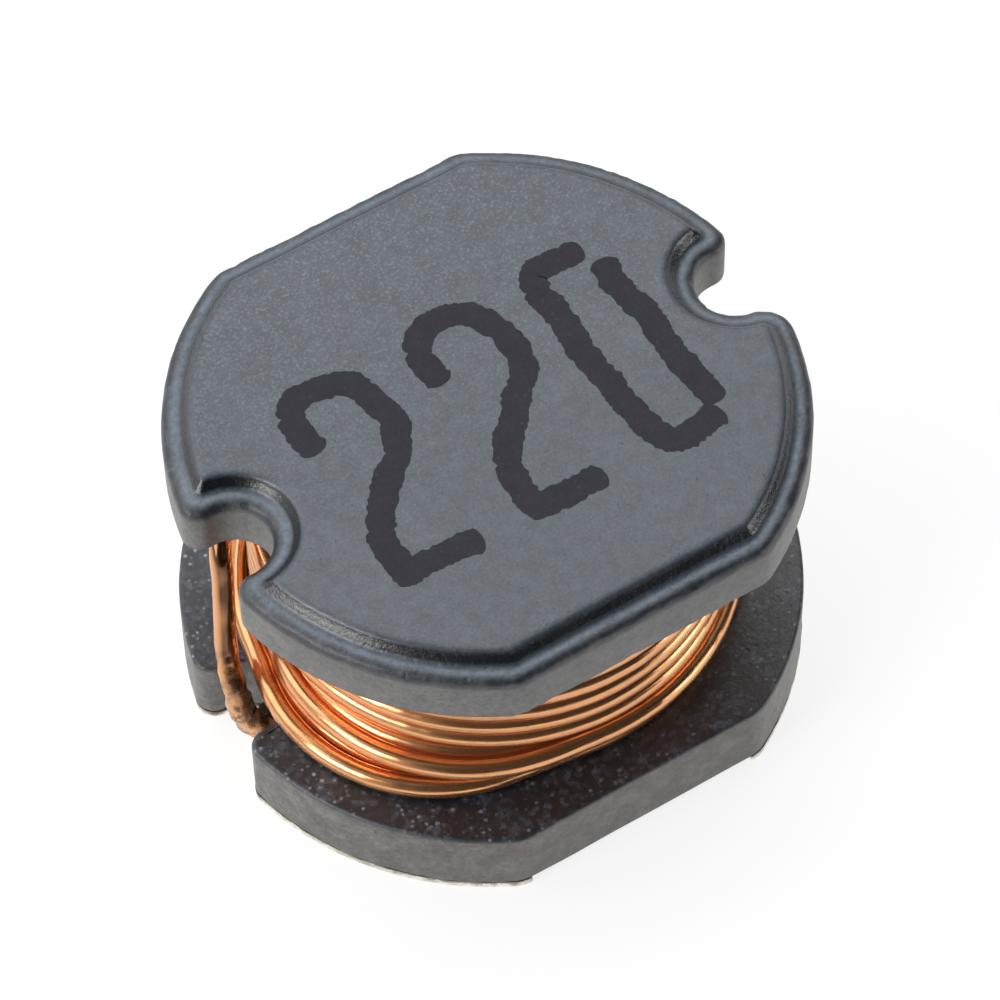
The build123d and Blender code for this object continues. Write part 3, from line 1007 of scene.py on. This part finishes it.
def ink_stroke(points, seed, layer):
    """A ribbon of ink as closed rings: each ring is a flat box across the stroke. The half width
    is a circle's near the ends, plus a ragged field on each side. A later stroke of a digit lies
    a hair lower than the one before, so that their tops never meet."""
    line = through_points([(x, y, 0) for x, y in points], stroke_step)
    forward = np.gradient(line, axis=0)
    forward /= np.linalg.norm(forward, axis=1)[:, None]
    side = np.cross(forward, [0, 0, 1.0])
    station = np.arange(len(line)) * stroke_step
    to_end = np.minimum(station, station[-1] - station) + 0.004
    rounded = np.sqrt(1 - (1 - np.clip(to_end / cap_length, 0, 1)) ** 2)
    edges = []
    for hand, offset in ((1, 0), (-1, 50)):
        probe = line + side * hand * stroke_half_width
        ragged = (0.011 * ripple(probe, 0.09, seed + offset)
                  + 0.013 * ripple(probe, 0.26, seed + offset + 1))
        half = (stroke_half_width + ragged) * rounded + 0.001
        edges.append(line + hand * (side * half[:, None]))
    left, other = edges
    top = [0, 0, part_top - layer_step * layer]
    bottom = [0, 0, face_height - ink_sinks]
    return np.stack([left + top, line + top, other + top, other + bottom, left + bottom], 1)


# the strokes of each digit, in millimetres on the face; a digit is 3 mm tall
first_two = [[(-2.10, 0.40), (-2.13, 0.72), (-2.12, 1.06)],
             [(-2.14, 0.98), (-1.95, 1.20), (-1.60, 1.20), (-1.28, 1.10), (-1.16, 0.76),
              (-1.09, 0.32), (-1.30, -0.08), (-1.58, -0.35), (-1.84, -0.64), (-2.07, -0.97)],
             [(-2.05, -0.88), (-2.11, -1.20), (-2.09, -1.77)],
             [(-2.24, -1.61), (-1.75, -1.60), (-1.40, -1.62), (-1.08, -1.66)]]
second_two = [[(-0.31, 0.46), (-0.36, 0.76), (-0.35, 1.08)],
              [(-0.38, 1.00), (-0.14, 1.25), (0.18, 1.30), (0.50, 1.14), (0.64, 0.86),
               (0.69, 0.50), (0.62, 0.16), (0.38, -0.09), (0.13, -0.40), (-0.12, -0.66),
               (-0.31, -0.96)],
              [(-0.27, -0.88), (-0.34, -1.28), (-0.30, -1.80)],
              [(-0.45, -1.63), (0.11, -1.66), (0.35, -1.66), (0.62, -1.66)]]
nought = [[(1.35, 0.99), (1.46, 1.26), (1.86, 1.28), (2.15, 1.25)],
          [(1.33, 1.09), (1.38, 0.50), (1.33, 0.0), (1.36, -0.60), (1.38, -1.15), (1.50, -1.72)],
          [(2.26, 1.02), (2.21, 0.50), (2.29, 0.0), (2.25, -0.60), (2.31, -1.51)],
          [(1.38, -1.62), (1.72, -1.72), (2.00, -1.68), (2.27, -1.62)]]
digits = (("ink_two_first", first_two, 101), ("ink_two_second", second_two, 211),
          ("ink_nought", nought, 307))


def make_ink():
    """Ink: matte near-black, thin over the grain's high points."""
    g = Finish("value_ink")
    grain = fired_grain(g, 20.0, 0.20, 0.30)
    colour = g.blend(1.0, (0.038, 0.036, 0.048, 1), grain["Shade"], "MULTIPLY")
    colour = g.blend(g.times(grain["Specks"], 0.35), colour, (0.13, 0.12, 0.13, 1))
    g.bump(0.3, 0.02 * MM, grain["Height"])
    return g.done(Base_Color=colour, Roughness=0.75, IOR=1.4)


def join_meshes(name, meshes):
    """One mesh out of several, put together as arrays of vertices and lists of faces."""
    vertices, faces, count = [], [], 0
    for mesh in meshes:
        co = np.zeros(len(mesh.vertices) * 3)
        mesh.vertices.foreach_get("co", co)
        vertices.append(co.reshape(-1, 3))
        faces += [[v + count for v in p.vertices] for p in mesh.polygons]
        count += len(mesh.vertices)
        bpy.data.meshes.remove(mesh)
    joined = bpy.data.meshes.new(name)
    joined.from_pydata(np.vstack(vertices).tolist(), [], faces)
    joined.update()
    return joined


ink = make_ink()
for name, strokes, seed in digits:
    parts = [closed_surface("stroke", ink_stroke(stroke, seed + 7 * k, k))
             for k, stroke in enumerate(strokes)]
    add_piece(name, join_meshes(name, parts), ink)

# %% [markdown]
# ## Tin and solder underneath
#
# The pads are fired silver dipped in tin: thin, bright and a little crinkled at the edge. Their
# solids already have the right shape, so they keep it and get a finish. The solder that fills
# each groove froze as a shiny lump round the wire.

# %% Tin and solder
def make_tin(name, colour, grain_size, roughness):
    """Tin or solder: bright metal with a grain, dull where it is stained, grimy above its ragged
    edge and brown with flux inside the notches."""
    g = Finish(name)
    y, z = g.add("ShaderNodeSeparateXYZ", {0: g.place()}).outputs[1:]
    grain = fired_grain(g, grain_size, 0.35, 0.3)
    dull = stains(g, 1.6, 0.55)
    base = g.blend(g.times(dull, 0.5), colour, (0.42, 0.36, 0.27, 1))
    base = g.blend(1.0, base, grain["Shade"], "MULTIPLY")
    crinkle = g.noise(7 / MM, 4.0, Roughness=0.7)
    ragged_height = g.maths("ADD", z, g.remap(crinkle, 0.3, 0.7, -0.04 * MM, 0.04 * MM))
    grime = g.remap(ragged_height, 0.055 * MM, 0.080 * MM, 0.0, 0.85)
    base = g.blend(grime, base, (0.230, 0.205, 0.165, 1))
    in_notch = g.times(g.remap(g.maths("ABSOLUTE", y), 0.8 * MM, 0.6 * MM),
                       g.remap(ragged_height, 0.02 * MM, 0.06 * MM))
    base = g.blend(g.times(in_notch, 0.94), base, (0.050, 0.024, 0.012, 1))
    g.bump(0.7, 0.03 * MM, grain["Height"])
    return g.done(Base_Color=base, Metallic=1.0,
                  Roughness=g.maths("ADD", roughness, g.times(dull, 0.2)))


tin = make_tin("crinkled_tin", (0.78, 0.75, 0.66, 1), 9.0, 0.30)
solder = make_tin("frozen_solder", (0.74, 0.73, 0.70, 1), 5.0, 0.22)
for node, finish in (("terminal_start", tin), ("terminal_finish", tin),
                     ("solder_joint_start", solder), ("solder_joint_finish", solder)):
    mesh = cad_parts[node].data
    mesh.materials.clear()
    mesh.materials.append(finish)
    print(node, "finished as", finish.name)

# %% [markdown]
# Where the finish end enters its groove, burnt flux has run together between the wire and the
# notch wall. It is a small closed lump: a ball drawn out on three axes, with an uneven surface.

# %% Burnt flux
def make_flux():
    """Burnt flux: dark brown resin with golden thin places."""
    g = Finish("burnt_flux")
    colour = g.blend(g.times(stains(g, 4.0, 0.50), 0.6), (0.028, 0.014, 0.009, 1),
                     (0.30, 0.15, 0.05, 1))
    return g.done(Base_Color=colour, Roughness=0.35)


flux_middle, flux_reach = np.array([-3.16, 0.08, 0.24]), np.array([0.19, 0.24, 0.19])
unevenness = 0.10
polar = np.linspace(0.02, np.pi - 0.02, 16)[:, None]
round_it = np.linspace(0, 2 * np.pi, 28, endpoint=False)[None]
ball = np.stack([np.sin(polar) * np.cos(round_it), np.sin(polar) * np.sin(round_it),
                 np.cos(polar) * np.ones_like(round_it)], -1)
swelling = (1 + unevenness * ripple(ball * 0.3, 0.22, 41))[..., None]
lump = flux_middle + ball * flux_reach * swelling
add_piece("burnt_flux", closed_surface("burnt_flux", lump), make_flux())
print("flux lump from", lump.min((0, 1)).round(2), "to", lump.max((0, 1)).round(2))

# %% [markdown]
# ## Floor, studio and lamps
#
# A white floor lights the walls from below. Three soft boxes, above, to the left and behind, give
# the ground face its sheen and the wires their bright lines, and a low one on the right lights
# the walls there. Dark screens stand towards the camera and to the right, so the slopes that face
# them stay nearly black. The background is white where the camera sees it directly.

# %% Stage
def make_floor():
    """A white floor. The camera and the reflections see it nearly white all over, with a faint
    shadow, and it lights the part as plain white paper does."""
    g = Finish("white_floor")
    paper = g.add("ShaderNodeBsdfDiffuse", {"Color": (0.30, 0.30, 0.30, 1)})
    glow = g.add("ShaderNodeEmission", {"Color": (1, 1, 1, 1), "Strength": 0.82})
    seen_floor = g.add("ShaderNodeAddShader", {0: paper.outputs[0], 1: glow.outputs[0]})
    rays = g.add("ShaderNodeLightPath").outputs
    direct = g.maths("MAXIMUM", rays["Is Camera Ray"],
                     g.maths("MAXIMUM", rays["Is Glossy Ray"], rays["Is Transmission Ray"]))
    mixed = g.add("ShaderNodeMixShader", {0: direct, 1: g.shader.outputs[0],
                                          2: seen_floor.outputs[0]})
    g.connect(g.output, {0: mixed.outputs[0]})
    g.connect(g.shader, {"Specular IOR Level": 0.0})
    return g.done(Base_Color=(0.95, 0.95, 0.95, 1), Roughness=0.9)


floor_half = 400 * MM
floor_signs = ((-1, -1), (1, -1), (1, 1), (-1, 1))
floor_corners = [(x * floor_half, y * floor_half, 0) for x, y in floor_signs]
floor_mesh = bpy.data.meshes.new("floor")
floor_mesh.from_pydata(floor_corners, [], [(0, 1, 2, 3)])
floor_mesh.materials.append(make_floor())
floor = place_object("floor", floor_mesh)

world = bpy.data.worlds.new("studio")
bpy.context.scene.world = world
world.use_nodes = True
world.node_tree.nodes.clear()
sky = Graph(world.node_tree)
direction = sky.add("ShaderNodeTexCoord").outputs["Generated"]


def dark_screen(centre, start, full):
    """1 minus how far a direction lies inside a dark screen round a centre direction, by the
    cosine of the angle between them."""
    towards = sky.add("ShaderNodeVectorMath", {0: direction, 1: centre}, operation="DOT_PRODUCT")
    return sky.remap(towards.outputs["Value"], start, full, 1.0, 0.05)


level = sky.times(dark_screen((0.0, -0.82, 0.57), 0.42, 0.76),
                  dark_screen((0.80, -0.58, 0.15), 0.60, 0.85))
grey = sky.add("ShaderNodeCombineColor", {0: level, 1: level, 2: level})
studio = sky.add("ShaderNodeBackground", {"Color": grey.outputs[0], "Strength": 0.52})
white = sky.add("ShaderNodeBackground", {"Color": (1, 1, 1, 1), "Strength": 1.0})
seen = sky.add("ShaderNodeLightPath").outputs["Is Camera Ray"]
mixed = sky.add("ShaderNodeMixShader", {0: seen, 1: studio.outputs[0], 2: white.outputs[0]})
sky.add("ShaderNodeOutputWorld", {0: mixed.outputs[0]})


def area_lamp(name, place, size, power):
    """A square soft lamp at a place in mm that shines at the middle of the part."""
    data = bpy.data.lights.new(name, "AREA")
    data.size = size * MM
    data.energy = power
    lamp = place_object(name, data)
    aim = Vector(look_at * MM) - Vector(place) * MM
    lamp.matrix_world = (Matrix.Translation(Vector(place) * MM)
                         @ aim.to_track_quat("-Z", "Y").to_matrix().to_4x4())
    return lamp


lamps = [area_lamp("top_lamp", (43, 72, 124), 110, 0.060),
         area_lamp("left_lamp", (-118, -8, 76), 60, 0.072),
         area_lamp("back_lamp", (-75, 82, 100), 100, 0.045),
         area_lamp("right_lamp", (100, -95, 22), 50, 0.030)]
bpy.context.scene.view_settings.view_transform = "Standard"
print("lamps:", [(o.name, round(o.data.energy, 3)) for o in lamps])
